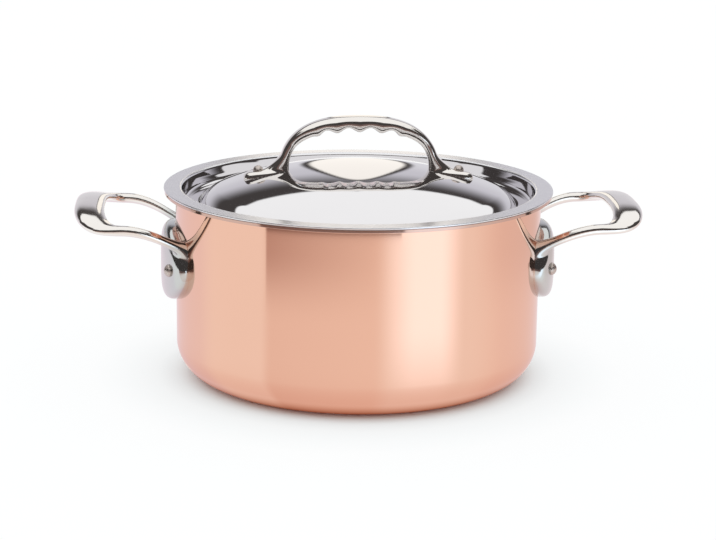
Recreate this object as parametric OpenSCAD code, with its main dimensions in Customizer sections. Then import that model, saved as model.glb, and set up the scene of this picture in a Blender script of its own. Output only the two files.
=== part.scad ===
// Two-handled copper cooking pot with a steel lining and a lift-off domed lid, in millimetres.
// The origin is the middle of the base, Z is up, and the side handles lie along X.

/* [Pot] */
// Inside diameter of the pot
pot_inner_d = 200; // [170:1:240]
// Height of the pot, from the base to the top of its lip
pot_h = 105.8; // [98:0.1:130]
// Thickness of the copper
copper_t = 1.7; // [1.2:0.1:2.4]
// Thickness of the steel lining
lining_t = 0.3; // [0.2:0.05:0.6]
// Outside radius between the base and the wall
base_corner_r = 20; // [12:0.5:26]
// Outside radius of the bend that turns the wall out into the lip
lip_bend_r = 4.5; // [3:0.1:6]
// Width of the flat part of the lip, past the bend
lip_flat_w = 1.5; // [1:0.1:3]

/* [Lid] */
// Thickness of the lid sheet
lid_t = 1; // [0.8:0.1:1.3]
// How far the lid's flange reaches past the pot's lip
lid_overhang = 0.5; // [0:0.1:1.5]
// Gap between the lid's plug wall and the lining
lid_gap = 0.8; // [0.5:0.1:1.5]
// Radius of the bend from the flange down into the plug wall
lid_bend_r = 1.6; // [1.4:0.1:2.4]
// Depth of the trough round the dome, from the top of the flange
trough_depth = 9.8; // [7:0.1:12]
// Radius at the bottom of the trough
trough_corner_r = 3; // [2:0.1:3.6]
// Width from the plug wall to where the dome's shoulder would stand upright
trough_w = 5.3; // [4:0.1:8]
// Radius of the dome's shoulder
shoulder_r = 21; // [19:0.5:23]
// How far the centre of the shoulder lies under the bottom of the trough
shoulder_sink = 11.5; // [10:0.1:13]
// Rise of the dome above the top of the flange
dome_rise = 12; // [10:0.1:14]

/* [Lid handle] */
// Length of the lid handle, over both feet
lid_handle_l = 128.8; // [120:0.1:140]
// Height of the top of the grip above the top of the dome
lid_handle_rise = 27.4; // [24:0.1:32]
// Distance from the tip of a foot to the centre line of its leg, where the legs stand widest
leg_inset = 22.6; // [20:0.1:25]
// Squareness of the arch: 2 is an ellipse, more is squarer
arch_power_share = 2.8; // [2.2:0.1:3.4]
// Width of the grip, front to back
lid_grip_w = 13; // [10:0.5:16]
// Width of a leg, front to back
leg_w = 10; // [8:0.5:12]
// Thickness of a leg
leg_t = 5.6; // [4.8:0.1:6.4]
// Thickness of the grip above its centre line
grip_up_t = 3.2; // [2.6:0.1:4]
// Mean thickness of the grip below its centre line
grip_down_t = 4.5; // [3.6:0.1:5.4]
// Depth of the finger waves, from their mean line
wave_depth = 1.3; // [0.5:0.1:1.8]
// Distance from one finger wave to the next
wave_pitch = 12.7; // [11:0.1:15]
// Half the length of the grip that has finger waves
wave_reach = 25.4; // [20:0.1:28]
// How far the leg spreads outwards where it meets its foot
web_w = 9; // [5:0.5:11]
// Height of that spread above the foot
web_h = 9.5; // [7:0.5:12]
// Length of a foot
foot_l = 25; // [22:0.1:28]
// Width of a foot
foot_w = 12; // [10:0.5:14]
// Thickness of a foot above the lid at its middle
foot_t = 2.6; // [2.2:0.1:3.4]
// How far a foot's top falls towards its tip, in degrees
foot_fall = 4; // [2:0.5:8]

/* [Side handles] */
// Reach of a side handle from the wall of the pot to the outer edge of the grip
reach = 55.3; // [48:0.1:64]
// Distance between the centre lines of the two arms
arm_span = 86; // [78:0.5:94]
// How far inside the end of the flange an arm stands, round the wall
root_inset = 10.3; // [9:0.1:14]
// Width of an arm
arm_w = 6.9; // [5.5:0.1:8]
// Thickness of an arm
arm_t = 5.5; // [4.6:0.1:6.5]
// Width of the grip at its middle, from its inner to its outer edge
grip_w = 16.3; // [13:0.1:19]
// Thickness of the grip
grip_t = 5.8; // [5:0.1:8]
// Distance from the wall to where the outer edge starts to turn from arm to grip
outer_turn = 33; // [28:0.5:38]
// Distance from the wall to where the inner edge starts to turn from arm to grip
inner_turn = 27.3; // [24:0.1:31]
// Squareness of the outer corner: 2 is an ellipse, more is squarer
outer_corner_share = 3; // [2.4:0.1:4]
// Squareness of the inner corner
inner_corner_share = 2.7; // [2.2:0.1:4]
// Depth of the level part of the arms under the top of the lip
arm_drop = 15; // [12:0.5:18]
// Rise of an arm from its root to its level part
arm_rise = 14.9; // [11:0.1:17]
// Distance from the wall to where an arm is level
arm_level = 29.4; // [26:0.1:33]
// Rise of the middle of the grip above the arms
grip_bow = 7; // [4:0.5:10]
// How much an arm thickens where it leaves the flange
root_flare = 5; // [3:0.5:7]
// Length of that thickening, out from the wall
root_flare_l = 13; // [10:0.5:16]
// Width of the flange, round the wall
flange_w = 85; // [78:0.5:92]
// Height of the flange
flange_h = 45.4; // [40:0.1:48]
// Thickness of the flange at its middle
flange_t = 9.2; // [8:0.1:11]
// Depth of the middle of the flange under the top of the lip
flange_drop = 40.5; // [36:0.5:46]

/* [Rivets] */
// Shank diameter of a side handle's rivet
side_rivet_d = 5; // [4:0.1:6]
// Diameter of its outer head
side_head_d = 6.9; // [6.2:0.1:9]
// Height of its outer head
side_head_h = 3.5; // [3:0.1:4.2]
// Diameter of its inner head
side_tail_d = 12; // [10:0.5:14]
// Height of its inner head
side_tail_h = 1.5; // [1:0.1:2.2]
// Distance between the two rivets of a side handle, round the wall
side_rivet_pitch = 58.5; // [54:0.5:61]
// Depth of the rivets under the top of the lip
side_rivet_drop = 40; // [37:0.5:43]
// Depth of the flat seat that is cut for an outer head, from the middle of the flange's face
side_seat_depth = 2; // [1.8:0.1:2.6]
// Shank diameter of a lid rivet
lid_rivet_d = 4; // [3:0.1:4.6]
// Diameter of its upper head
lid_head_d = 5.6; // [5:0.1:6.4]
// Height of its upper head
lid_head_h = 3.3; // [2.6:0.1:3.8]
// Diameter of its lower head
lid_tail_d = 9; // [7:0.5:11]
// Height of its lower head
lid_tail_h = 1.3; // [1:0.1:2]
// Distance of a lid rivet from the tip of its foot
lid_rivet_inset = 9; // [7:0.1:10]
// Height of the flat seat of the upper head above the lid
lid_seat_t = 2.7; // [2.4:0.1:2.9]
// Clearance round a rivet's shank and head
rivet_fit = 0.1; // [0.05:0.01:0.2]

/* [Hidden] */
$fn = 128;

// How far a cut runs past the face that it cuts
overrun = 2;

// How deep a foot starts in the lid, so that its tip still reaches the dome
foot_depth = 6;

// Steps in which round stretches are drawn
arc_steps = 20;
section_steps = 16;
arm_steps = 14;
turn_steps = 14;
arch_step_angle = 3;
pebble_rings = 9;
pebble_sectors = 40;

// Shapes of sections: 2 is an ellipse, more is squarer
bar_power_share = 2.5;
flange_power_share = 3.2;
flange_plan_share = 2;
foot_power_share = 6;
foot_plan_share = 4;

// Part of a rivet head's height that stands upright below its dome
head_edge_share = 0.35;

copper_color = [0.86, 0.56, 0.44];
lining_color = [0.74, 0.74, 0.76];
lid_color = [0.8, 0.8, 0.82];
cast_color = [0.87, 0.85, 0.82];
rivet_color = [0.66, 0.65, 0.64];

// Pot
wall_t = copper_t + lining_t;
wall_in_r = pot_inner_d / 2;
wall_out_r = wall_in_r + wall_t;
lip_r = wall_out_r + lip_bend_r + lip_flat_w;
lip_start_z = pot_h - wall_t - lip_bend_r;

// Lid
flange_top_z = pot_h + lid_t;
lid_r = lip_r + lid_overhang;
plug_in_r = wall_in_r - lid_gap - lid_t;
trough_z = flange_top_z - trough_depth;
dome_top_z = flange_top_z + dome_rise;
shoulder_x = plug_in_r - trough_w - shoulder_r;
shoulder_z = trough_z - shoulder_sink;
// The cap is tangent to the shoulder and passes through the top of the dome
dome_h = dome_top_z - shoulder_z;
dome_r = (pow(shoulder_x, 2) + pow(dome_h, 2) - pow(shoulder_r, 2)) / (2 * (dome_h - shoulder_r));
dome_centre_z = dome_top_z - dome_r;
dome_edge_angle = asin(shoulder_x / (dome_r - shoulder_r));
// The bottom of the trough is tangent to the shoulder
trough_rise = trough_z + trough_corner_r - shoulder_z;
trough_run = sqrt(pow(shoulder_r + trough_corner_r, 2) - pow(trough_rise, 2));
shoulder_end_angle = atan2(trough_rise, trough_run);

// Lid handle
leg_spread = lid_handle_l / 2 - leg_inset;
arch_top_z = dome_top_z + lid_handle_rise - grip_up_t;
foot_x = (lid_handle_l - foot_l) / 2;
foot_z = dome_centre_z + sqrt(pow(dome_r, 2) - pow(foot_x, 2));
arch_base_z = foot_z + foot_t;
arch_h = arch_top_z - arch_base_z;
lid_rivet_angle = asin((lid_handle_l / 2 - lid_rivet_inset) / dome_r);

// Side handles
flange_z = pot_h - flange_drop;
arm_z = pot_h - arm_drop;
root_z = arm_z - arm_rise;
root_angle = (flange_w / 2 - root_inset) / wall_out_r * 180 / PI;
root_y = wall_out_r * sin(root_angle);
root_x = wall_out_r * cos(root_angle) - overrun;
arm_y = arm_span / 2;
side_rivet_z = pot_h - side_rivet_drop;
side_rivet_angle = side_rivet_pitch / 2 / wall_out_r * 180 / PI;
side_seat_r = wall_out_r + flange_t - side_seat_depth;

function arc(x, y, r, from, to) =
    [for (i = [0:arc_steps]) let (a = from + (to - from) * i / arc_steps) [x + r * cos(a), y + r * sin(a)]];

function reversed(points) = [for (i = [len(points) - 1:-1:0]) points[i]];

// Rises from 0 to 1 with level ends
function ease(k) = let (c = min(1, max(0, k))) c * c * (3 - 2 * c);

// A point of a unit superellipse in the direction of an angle
function rounded_square(a, power) =
    [cos(a), sin(a)] * pow(pow(abs(cos(a)), power) + pow(abs(sin(a)), power), -1 / power);

// Line of the pot's sheet at a depth below its outer face, from the axis to the edge of the lip
function pot_line(depth) = concat(
    [[0, depth]],
    arc(wall_out_r - base_corner_r, base_corner_r, base_corner_r - depth, -90, 0),
    arc(wall_out_r + lip_bend_r, lip_start_z, lip_bend_r + depth, 180, 90),
    [[lip_r, lip_start_z + lip_bend_r + depth]]
);

// Line of the lid's sheet at a depth below its upper face, from the axis to the edge of the flange
function lid_line(depth) = concat(
    arc(0, dome_centre_z, dome_r - depth, 90, 90 - dome_edge_angle),
    arc(shoulder_x, shoulder_z, shoulder_r - depth, 90 - dome_edge_angle, shoulder_end_angle),
    arc(shoulder_x + trough_run, trough_z + trough_corner_r, trough_corner_r + depth,
        180 + shoulder_end_angle, 270),
    arc(plug_in_r - trough_corner_r, trough_z + trough_corner_r, trough_corner_r + depth, 270, 360),
    arc(plug_in_r + lid_bend_r, flange_top_z - lid_bend_r, lid_bend_r - depth, 180, 90),
    [[lid_r, flange_top_z - depth]]
);

module pot_sheet(from, to) {
    rotate_extrude() polygon(concat(pot_line(from), reversed(pot_line(to))));
}

// Closed skin over rings of points that all have the same count, with both ends capped
module skin(rings) {
    count = len(rings[0]);
    last = len(rings) - 1;
    sides = [for (i = [0:last - 1]) for (j = [0:count - 1]) let (
        a = i * count + j,
        b = i * count + (j + 1) % count
    ) each [[a, b, a + count], [b, b + count, a + count]]];
    start_cap = [for (j = [1:count - 2]) [0, j + 1, j]];
    end_cap = [for (j = [1:count - 2]) [last * count, last * count + j, last * count + j + 1]];
    polyhedron([for (ring = rings) each ring], concat(sides, start_cap, end_cap));
}

// Domed pad that is bent over a round seat: its length goes round the seat, and Z points away from it
module pebble(length, width, thick, depth, seat_r, power, plan_power) {
    rings = [for (i = [0:pebble_rings]) let (
        lift = 90 * i / pebble_rings,
        spread = i == pebble_rings ? 0 : pow(cos(lift), 2 / power),
        h = (thick + depth) * pow(sin(lift), 2 / power) - depth
    ) i == pebble_rings ? [] : [for (j = [0:pebble_sectors - 1]) let (
        p = rounded_square(360 * j / pebble_sectors, plan_power) * spread,
        round_seat = length / 2 * p[0] / seat_r * 180 / PI,
        r = seat_r + h
    ) [r * sin(round_seat), width / 2 * p[1], r * cos(round_seat) - seat_r]]];
    body = [for (i = [0:pebble_rings - 1]) rings[i]];
    points = concat([for (ring = body) each ring], [[0, 0, thick], [0, 0, -depth]]);
    top = pebble_rings * pebble_sectors;
    sides = [for (i = [0:pebble_rings - 2]) for (j = [0:pebble_sectors - 1]) let (
        a = i * pebble_sectors + j,
        b = i * pebble_sectors + (j + 1) % pebble_sectors
    ) each [[a, a + pebble_sectors, b], [b, a + pebble_sectors, b + pebble_sectors]]];
    crown = [for (j = [0:pebble_sectors - 1])
        [top - pebble_sectors + j, top, top - pebble_sectors + (j + 1) % pebble_sectors]];
    base = [for (j = [0:pebble_sectors - 1]) [(j + 1) % pebble_sectors, top + 1, j]];
    polyhedron(points, concat(sides, crown, base));
}

// Rivet along Z: the tail's seat is at 0 and the head's seat is at the grip length
module rivet(shank_d, grip, head_d, head_h, tail_d, tail_h) {
    rotate_extrude() polygon(concat(
        reversed([for (p = head_line(tail_d, tail_h)) [p[0], -p[1]]]),
        [[shank_d / 2, 0], [shank_d / 2, grip]],
        [for (p = head_line(head_d, head_h)) [p[0], grip + p[1]]]
    ));
}

// Half outline of a domed head, from its seat to its top
function head_line(d, h) = let (
    edge = h * head_edge_share,
    dome = h - edge,
    r = (pow(d / 2, 2) + pow(dome, 2)) / (2 * dome)
) concat([[d / 2, 0]], [for (p = arc(0, h - r, r, acos(d / 2 / r), 90)) [abs(p[0]), p[1]]]);

module copper_shell() {
    color(copper_color) difference() {
        pot_sheet(0, copper_t);
        side_rivet_holes();
    }
}

module steel_lining() {
    color(lining_color) difference() {
        pot_sheet(copper_t, wall_t);
        side_rivet_holes();
    }
}

module side_rivet_holes() {
    for (half_turn = [0, 180]) for (side = [-1, 1]) rotate([0, 0, half_turn])
        at_side_rivet(side) cylinder(d = side_rivet_d + 2 * rivet_fit, h = side_seat_r);
}

// Puts a child's Z axis along a rivet of the right handle, from the middle of the pot outwards
module at_side_rivet(side) {
    rotate([0, 0, side * side_rivet_angle]) translate([0, 0, side_rivet_z]) rotate([0, 90, 0]) children();
}

module side_rivet(side) {
    // The inner head stands clear of the round wall at its own rim
    tail_seat = sqrt(pow(wall_in_r, 2) - pow(side_tail_d / 2, 2));
    color(rivet_color) at_side_rivet(side) translate([0, 0, tail_seat])
        rivet(side_rivet_d, side_seat_r - tail_seat, side_head_d, side_head_h, side_tail_d, side_tail_h);
}

// Half of an edge of the loop in plan: along the arm, then round the corner to the middle of the grip
function edge_line(turn, far, side_w, corner_share) = concat(
    [for (i = [0:arm_steps - 1]) let (k = i / arm_steps) [
        root_x + (wall_out_r + turn - root_x) * k,
        root_y + side_w + (arm_y - root_y) * sin(90 * k)
    ]],
    [for (i = [0:turn_steps]) let (p = rounded_square(90 - 90 * i / turn_steps, corner_share))
        [wall_out_r + turn + (far - turn) * p[0], (arm_y + side_w) * p[1]]]
);

// Height of an arm's centre line at a distance from the pot's axis
function arm_height(x) = let (k = (x - root_x) / (wall_out_r + arm_level - root_x))
    root_z + arm_rise * sin(90 * min(1, k));

// One ring of the loop between its inner and outer edge; gripping goes from 0 on the arm to 1
function loop_ring(inner, outer, gripping) = let (
    middle = (inner + outer) / 2,
    flare = root_flare * pow(max(0, 1 - (middle[0] - root_x) / root_flare_l), 2),
    half_w = (outer - inner) / 2 * (1 + flare / arm_w),
    t = arm_t + (grip_t - arm_t) * ease(gripping) + flare,
    bow = gripping > 0 ? grip_bow * max(0, 1 - pow(middle[1] / arm_y, 2)) : 0,
    z = arm_height(middle[0]) + bow
) [for (j = [0:section_steps - 1]) let (p = rounded_square(360 * j / section_steps, bar_power_share))
    [middle[0] + half_w[0] * p[0], middle[1] + half_w[1] * p[0], z - p[1] * t / 2]];

module loop() {
    inner = edge_line(inner_turn, reach - grip_w, -arm_w / 2, inner_corner_share);
    outer = edge_line(outer_turn, reach, arm_w / 2, outer_corner_share);
    last = len(inner) - 1;
    half = [for (i = [0:last]) loop_ring(inner[i], outer[i], max(0, i - arm_steps) / turn_steps)];
    other_half = [for (i = [last - 1:-1:0]) [for (p = half[i]) [p[0], -p[1], p[2]]]];
    skin(concat(half, other_half));
}

// Cast side handle on the +X side: a domed flange on the wall and a loop that grows out of it
module side_handle() {
    color(cast_color) difference() {
        union() {
            translate([wall_out_r, 0, flange_z]) rotate([90, 0, 90]) pebble(
                flange_w, flange_h, flange_t, overrun, wall_out_r, flange_power_share, flange_plan_share
            );
            loop();
        }
        cylinder(r = wall_out_r, h = pot_h, $fn = 256);
        for (side = [-1, 1]) at_side_rivet(side) {
            cylinder(d = side_rivet_d + 2 * rivet_fit, h = side_seat_r);
            translate([0, 0, side_seat_r])
                cylinder(d = side_head_d + 2 * rivet_fit, h = side_head_h + overrun);
        }
    }
}

module lid_plate() {
    color(lid_color) difference() {
        rotate_extrude() polygon(concat(lid_line(0), reversed(lid_line(lid_t))));
        for (side = [-1, 1]) at_lid_rivet(side) translate([0, 0, -dome_r / 2])
            cylinder(d = lid_rivet_d + 2 * rivet_fit, h = dome_r);
    }
}

// Puts a child's Z axis along a lid rivet, with its origin on the upper face of the dome
module at_lid_rivet(side) {
    translate([0, 0, dome_centre_z]) rotate([0, side * lid_rivet_angle, 0])
        translate([0, 0, dome_r]) children();
}

module lid_rivet(side) {
    // The lower head stands clear of the round sheet at its own rim
    tail_seat = sqrt(pow(dome_r - lid_t, 2) - pow(lid_tail_d / 2, 2)) - dome_r;
    color(rivet_color) at_lid_rivet(side) translate([0, 0, tail_seat])
        rivet(lid_rivet_d, lid_seat_t - tail_seat, lid_head_d, lid_head_h, lid_tail_d, lid_tail_h);
}

// Point of the arch's centre line in the XZ plane, at an angle
function arch_point(a) = let (p = rounded_square(a, arch_power_share))
    [leg_spread * p[0], arch_base_z + arch_h * p[1]];

// One ring of the arch: its inner side has the finger waves and its outer side spreads at the foot
function arch_ring(a) = let (
    here = arch_point(a),
    way = arch_point(a + arch_step_angle / 2) - arch_point(a - arch_step_angle / 2),
    out = [way[1], -way[0]] / norm(way),
    level = ease(2 * (here[1] - arch_base_z) / arch_h - 1),
    waving = ease((wave_reach + wave_pitch / 4 - abs(here[0])) / (wave_pitch / 2)),
    web = web_w * pow(max(0, 1 - (here[1] - arch_base_z) / web_h), 2),
    outer = leg_t / 2 + (grip_up_t - leg_t / 2) * level + web,
    wave = wave_depth * waving * cos(360 * here[0] / wave_pitch),
    inner = leg_t / 2 + (grip_down_t - leg_t / 2) * level + wave,
    w = leg_w + (lid_grip_w - leg_w) * level
) [for (j = [0:section_steps - 1]) let (
    p = rounded_square(360 * j / section_steps, bar_power_share),
    away = p[0] > 0 ? p[0] * outer : p[0] * inner
) [here[0] + out[0] * away, -p[1] * w / 2, here[1] + out[1] * away]];

module lid_handle() {
    sink_angle = atan2(2 * foot_t, arch_h);
    first = -floor(sink_angle / arch_step_angle) * arch_step_angle;
    color(cast_color) difference() {
        union() {
            skin([for (a = [first:arch_step_angle:180 - first]) arch_ring(a)]);
            for (side = [-1, 1]) translate([side * foot_x, 0, foot_z]) rotate([0, side * foot_fall, 0])
                pebble(foot_l, foot_w, foot_t, foot_depth, dome_r, foot_power_share, foot_plan_share);
        }
        rotate_extrude() polygon(concat(lid_line(0), [[lid_r, 0], [0, 0]]));
        for (side = [-1, 1]) at_lid_rivet(side) {
            translate([0, 0, -overrun]) cylinder(d = lid_rivet_d + 2 * rivet_fit, h = foot_t + 2 * overrun);
            translate([0, 0, lid_seat_t]) cylinder(d = lid_head_d + 2 * rivet_fit, h = lid_head_h + overrun);
        }
    }
}

copper_shell();
steel_lining();
rotate([0, 0, 180]) side_handle();  // left_handle
rotate([0, 0, 180]) side_rivet(1);  // left_front_rivet
rotate([0, 0, 180]) side_rivet(-1);  // left_back_rivet
side_handle();  // right_handle
side_rivet(-1);  // right_front_rivet
side_rivet(1);  // right_back_rivet
lid_plate();
lid_handle();
lid_rivet(-1);  // lid_left_rivet
lid_rivet(1);  // lid_right_rivet
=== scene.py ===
"""Looks of a two-handled copper cooking pot with a steel lining and a domed lift-off lid.

Shapes are worked out in millimetres, in the row frame, and become metres when a mesh is made.
Turned parts are profiles carried round the Z axis. The three cast handles are each the zero
level of a field: solid forms joined by a smooth minimum, so that every arm flows into its foot.
"""

import logging
from collections.abc import Callable, Sequence
from dataclasses import dataclass, field
from enum import Enum
from functools import cached_property

import bpy
import numpy as np
from mathutils import Matrix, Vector
from numpy.typing import NDArray


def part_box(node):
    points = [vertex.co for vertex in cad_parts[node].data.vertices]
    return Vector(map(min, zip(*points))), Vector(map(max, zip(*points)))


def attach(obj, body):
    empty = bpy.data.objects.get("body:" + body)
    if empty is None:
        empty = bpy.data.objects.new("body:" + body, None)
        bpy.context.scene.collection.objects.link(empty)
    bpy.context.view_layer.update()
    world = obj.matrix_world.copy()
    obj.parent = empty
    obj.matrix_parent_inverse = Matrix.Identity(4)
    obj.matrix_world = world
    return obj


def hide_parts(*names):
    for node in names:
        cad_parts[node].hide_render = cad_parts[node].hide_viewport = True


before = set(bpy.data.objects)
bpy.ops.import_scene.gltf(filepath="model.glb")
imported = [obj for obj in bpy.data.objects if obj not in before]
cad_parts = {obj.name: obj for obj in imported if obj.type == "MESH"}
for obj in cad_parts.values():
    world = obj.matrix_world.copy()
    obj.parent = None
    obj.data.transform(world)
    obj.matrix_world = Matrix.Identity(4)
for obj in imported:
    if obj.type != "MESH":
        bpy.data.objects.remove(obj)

Array = NDArray[np.float64]
Faces = NDArray[np.int64]
Field = Callable[[Array], Array]
Color = tuple[float, float, float]
Socket = bpy.types.NodeSocket
Node = bpy.types.Node

log = logging.getLogger("cooking_pot")

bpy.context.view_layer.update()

METRES = 0.001
"""Metres in one millimetre."""
BEND_GUARD = 0.25
"""Width of the ring beside a bend that keeps the bend's shading off the flat next to it."""
EDGE_GUARD = 0.1
"""Width of such a ring beside the rounded edge of the pot's lip."""


class Side(Enum):
    """The end of the pot or lid that a piece belongs to, with its sign along X."""

    LEFT = -1
    RIGHT = 1


class Depth(Enum):
    """The nearer or farther of two like pieces, with its sign along Y."""

    FRONT = -1
    BACK = 1


class Marks(Enum):
    """The fine marks that a polisher leaves on a surface."""

    RINGS = "rings round the axis of a turned part"
    CAST = "the soft swells and hairlines of a polished casting"


def box_mm(node: str) -> tuple[Array, Array]:
    """Lowest and highest corner of a CAD node, in millimetres.

    Args:
        node: The node's name.

    Returns:
        The two corners as arrays of three numbers.
    """
    low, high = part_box(node)
    return np.array(low) / METRES, np.array(high) / METRES


def smooth(values: Array) -> Array:
    """Rises from 0 to 1 with level ends: 3k² - 2k³ of the value k, kept between 0 and 1."""
    k = np.clip(values, 0.0, 1.0)
    return k * k * (3.0 - 2.0 * k)


def arc(x: float, y: float, radius: float, start: float, end: float, steps: int) -> Array:
    """Points along a circular arc.

    Args:
        x: First coordinate of the centre.
        y: Second coordinate of the centre.
        radius: Radius of the arc.
        start: Angle of its first point, in degrees.
        end: Angle of its last point, in degrees.
        steps: Number of steps between the two.

    Returns:
        An array of steps + 1 points.
    """
    angle = np.radians(np.linspace(start, end, steps + 1))
    return np.stack([x + radius * np.cos(angle), y + radius * np.sin(angle)], axis=1)


def rounded_square(angle: Array, power: float) -> Array:
    """Points of the unit superellipse |x|^power + |y|^power = 1 in the direction of each angle.

    Args:
        angle: Angles in radians.
        power: 2 gives a circle and more is squarer.

    Returns:
        One point for each angle.
    """
    way = np.stack([np.cos(angle), np.sin(angle)], axis=-1)
    return way / (np.abs(way) ** power).sum(axis=-1, keepdims=True) ** (1.0 / power)


def turn_y(angle: float) -> Array:
    """3x3 rotation about the Y axis, which takes Z towards X for a positive angle in radians."""
    c, s = np.cos(angle), np.sin(angle)
    return np.array([[c, 0.0, s], [0.0, 1.0, 0.0], [-s, 0.0, c]])


def turn_z(angle: float) -> Array:
    """3x3 rotation about the Z axis by an angle in radians."""
    c, s = np.cos(angle), np.sin(angle)
    return np.array([[c, -s, 0.0], [s, c, 0.0], [0.0, 0.0, 1.0]])


def refine(line: Array, longest: float) -> Array:
    """Adds points to a polyline so that no stretch of it is longer than a given length.

    Args:
        line: Points of the polyline.
        longest: The greatest length between two neighbours.

    Returns:
        The same line with more points, each one worked out along its length.
    """
    gaps = np.linalg.norm(np.diff(line, axis=0), axis=1)
    parts = np.maximum(1, np.ceil(gaps / longest)).astype(int)
    place = np.concatenate([[0.0], np.cumsum(np.repeat(1.0 / parts, parts))])
    mark = np.arange(len(line))
    return np.stack([np.interp(place, mark, line[:, i]) for i in range(line.shape[1])], axis=1)


@dataclass
class Surface:
    """Points and faces of a mesh before Blender has it, in millimetres."""

    points: Array
    quads: Faces
    triangles: Faces = field(default_factory=lambda: np.zeros((0, 3), int))

    def turned(self, turn: Array, shift: Sequence[float] = (0.0, 0.0, 0.0)) -> "Surface":
        """A copy with every point multiplied by a 3x3 rotation and then shifted."""
        return Surface(self.points @ turn.T + np.array(shift), self.quads, self.triangles)

    def mesh(self, name: str) -> bpy.types.Mesh:
        """Makes the Blender mesh, in metres and shaded smooth.

        Args:
            name: Name of the mesh.

        Returns:
            The mesh.
        """
        mesh = bpy.data.meshes.new(name)
        corners = np.concatenate([self.quads.ravel(), self.triangles.ravel()])
        sizes = np.concatenate([np.full(len(self.quads), 4), np.full(len(self.triangles), 3)])
        starts = np.concatenate([[0], np.cumsum(sizes)[:-1]])
        mesh.vertices.add(len(self.points))
        mesh.vertices.foreach_set("co", (self.points * METRES).ravel())
        mesh.loops.add(len(corners))
        mesh.loops.foreach_set("vertex_index", corners)
        mesh.polygons.add(len(sizes))
        mesh.polygons.foreach_set("loop_start", starts)
        mesh.polygons.foreach_set("use_smooth", np.ones(len(sizes), bool))
        mesh.update(calc_edges=True)
        mesh.validate()
        return mesh


def grid_quads(rows: int, columns: int) -> Faces:
    """Quads of a grid of points whose columns close into a ring.

    Args:
        rows: Number of rings.
        columns: Number of points in a ring.

    Returns:
        One row of four point numbers for each quad.
    """
    row, column = np.meshgrid(np.arange(rows - 1), np.arange(columns), indexing="ij")
    here = row * columns + column
    beside = row * columns + (column + 1) % columns
    return np.stack([here, beside, beside + columns, here + columns], axis=-1).reshape(-1, 4)


def revolve(profile: Array, columns: int) -> Surface:
    """Carries a profile of radius and height round the Z axis.

    The point for profile point (r, z) and angle a is (r cos a, r sin a, z). The profile starts
    and ends on the axis, and each end becomes one pole.

    Args:
        profile: Points of the half section, with the solid on the left of the way along it.
        columns: Number of points in each ring.

    Returns:
        The closed surface, its faces turned outwards.
    """
    angle = np.linspace(0.0, 2.0 * np.pi, columns, endpoint=False)
    rows = len(profile) - 2
    radius, height = profile[1:-1, 0, None], np.broadcast_to(profile[1:-1, 1, None], (rows, columns))
    rings = np.stack([radius * np.cos(angle), radius * np.sin(angle), height], axis=-1)
    poles = np.array([[0.0, 0.0, profile[0, 1]], [0.0, 0.0, profile[-1, 1]]])
    here = np.arange(columns)
    beside = (here + 1) % columns
    first, last = rows * columns, rows * columns + 1
    top = (rows - 1) * columns
    caps = [
        np.stack([np.full(columns, first), beside, here], axis=1),
        np.stack([np.full(columns, last), top + here, top + beside], axis=1),
    ]
    return Surface(
        np.concatenate([rings.reshape(-1, 3), poles]), grid_quads(rows, columns), np.concatenate(caps)
    )


def signed_gap(points: Array, line: Array) -> Array:
    """Distance from points to a polyline in a plane, positive on the line's left.

    The nearest of every eighth corner gives the part of the line that is searched. Each point
    is projected on every stretch of that part, the nearest one counts, and the cross product of
    that stretch and the way to the point gives the sign.

    Args:
        points: Points of the plane, one row each.
        line: Points of the polyline.

    Returns:
        One distance for each point.
    """
    skip, block = 8, 20000
    start, way = line[:-1], np.diff(line, axis=0)
    length2 = (way**2).sum(axis=1)
    posts = line[::skip]
    window = np.arange(-skip, skip)
    out = np.empty(len(points))
    for first in range(0, len(points), block):
        here = points[first : first + block]
        post = ((here[:, None, :] - posts) ** 2).sum(axis=-1).argmin(axis=1)
        stretch = np.clip(skip * post[:, None] + window, 0, len(way) - 1)
        away, along = here[:, None, :] - start[stretch], way[stretch]
        k = np.clip((away * along).sum(axis=-1) / length2[stretch], 0.0, 1.0)
        gap2 = ((away - k[..., None] * along) ** 2).sum(axis=-1)
        nearest = gap2.argmin(axis=1)[:, None]
        side = along[..., 0] * away[..., 1] - along[..., 1] * away[..., 0]
        sign = np.where(np.take_along_axis(side, nearest, axis=1) >= 0.0, 1.0, -1.0)
        out[first : first + block] = (sign * np.sqrt(np.take_along_axis(gap2, nearest, axis=1)))[:, 0]
    return out


def band_gaps(plan: Array, edges: tuple[Array, Array]) -> tuple[Array, Array]:
    """Signed distances to the two edges of a band, worked out once for each different place.

    Args:
        plan: Places in the band's plane, in which many points of a grid share one place.
        edges: The band's inner and outer edge.

    Returns:
        The distances to the inner and to the outer edge.
    """
    places, which = np.unique(plan[:, 0] + 1j * plan[:, 1], return_inverse=True)
    places = np.stack([places.real, places.imag], axis=1)
    inner, outer = (signed_gap(places, edge) for edge in edges)
    return inner[which], outer[which]


def gauge_gap(offset: Array, gauge: Array) -> Array:
    """Distance to a surface along the ray from its centre: |offset| (1 - 1 / gauge).

    Args:
        offset: Vector from the centre to each point.
        gauge: 1 on the surface, less inside it, and growing evenly along each ray.

    Returns:
        One distance for each point, negative inside.
    """
    least = 1e-6
    return np.linalg.norm(offset, axis=-1) * (1.0 - 1.0 / np.maximum(gauge, least))


def blended(gaps: Sequence[Array], radius: float) -> Array:
    """Smooth minimum of several distances: -r log(sum of exp(-d / r)).

    Args:
        gaps: Distances to the forms that flow into one another.
        radius: Softness of the join.

    Returns:
        The distance to the joined form.
    """
    least, most = np.minimum.reduce(gaps), 60.0
    total = sum(np.exp(-np.minimum((gap - least) / radius, most)) for gap in gaps)
    return least - radius * np.log(total)


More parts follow.
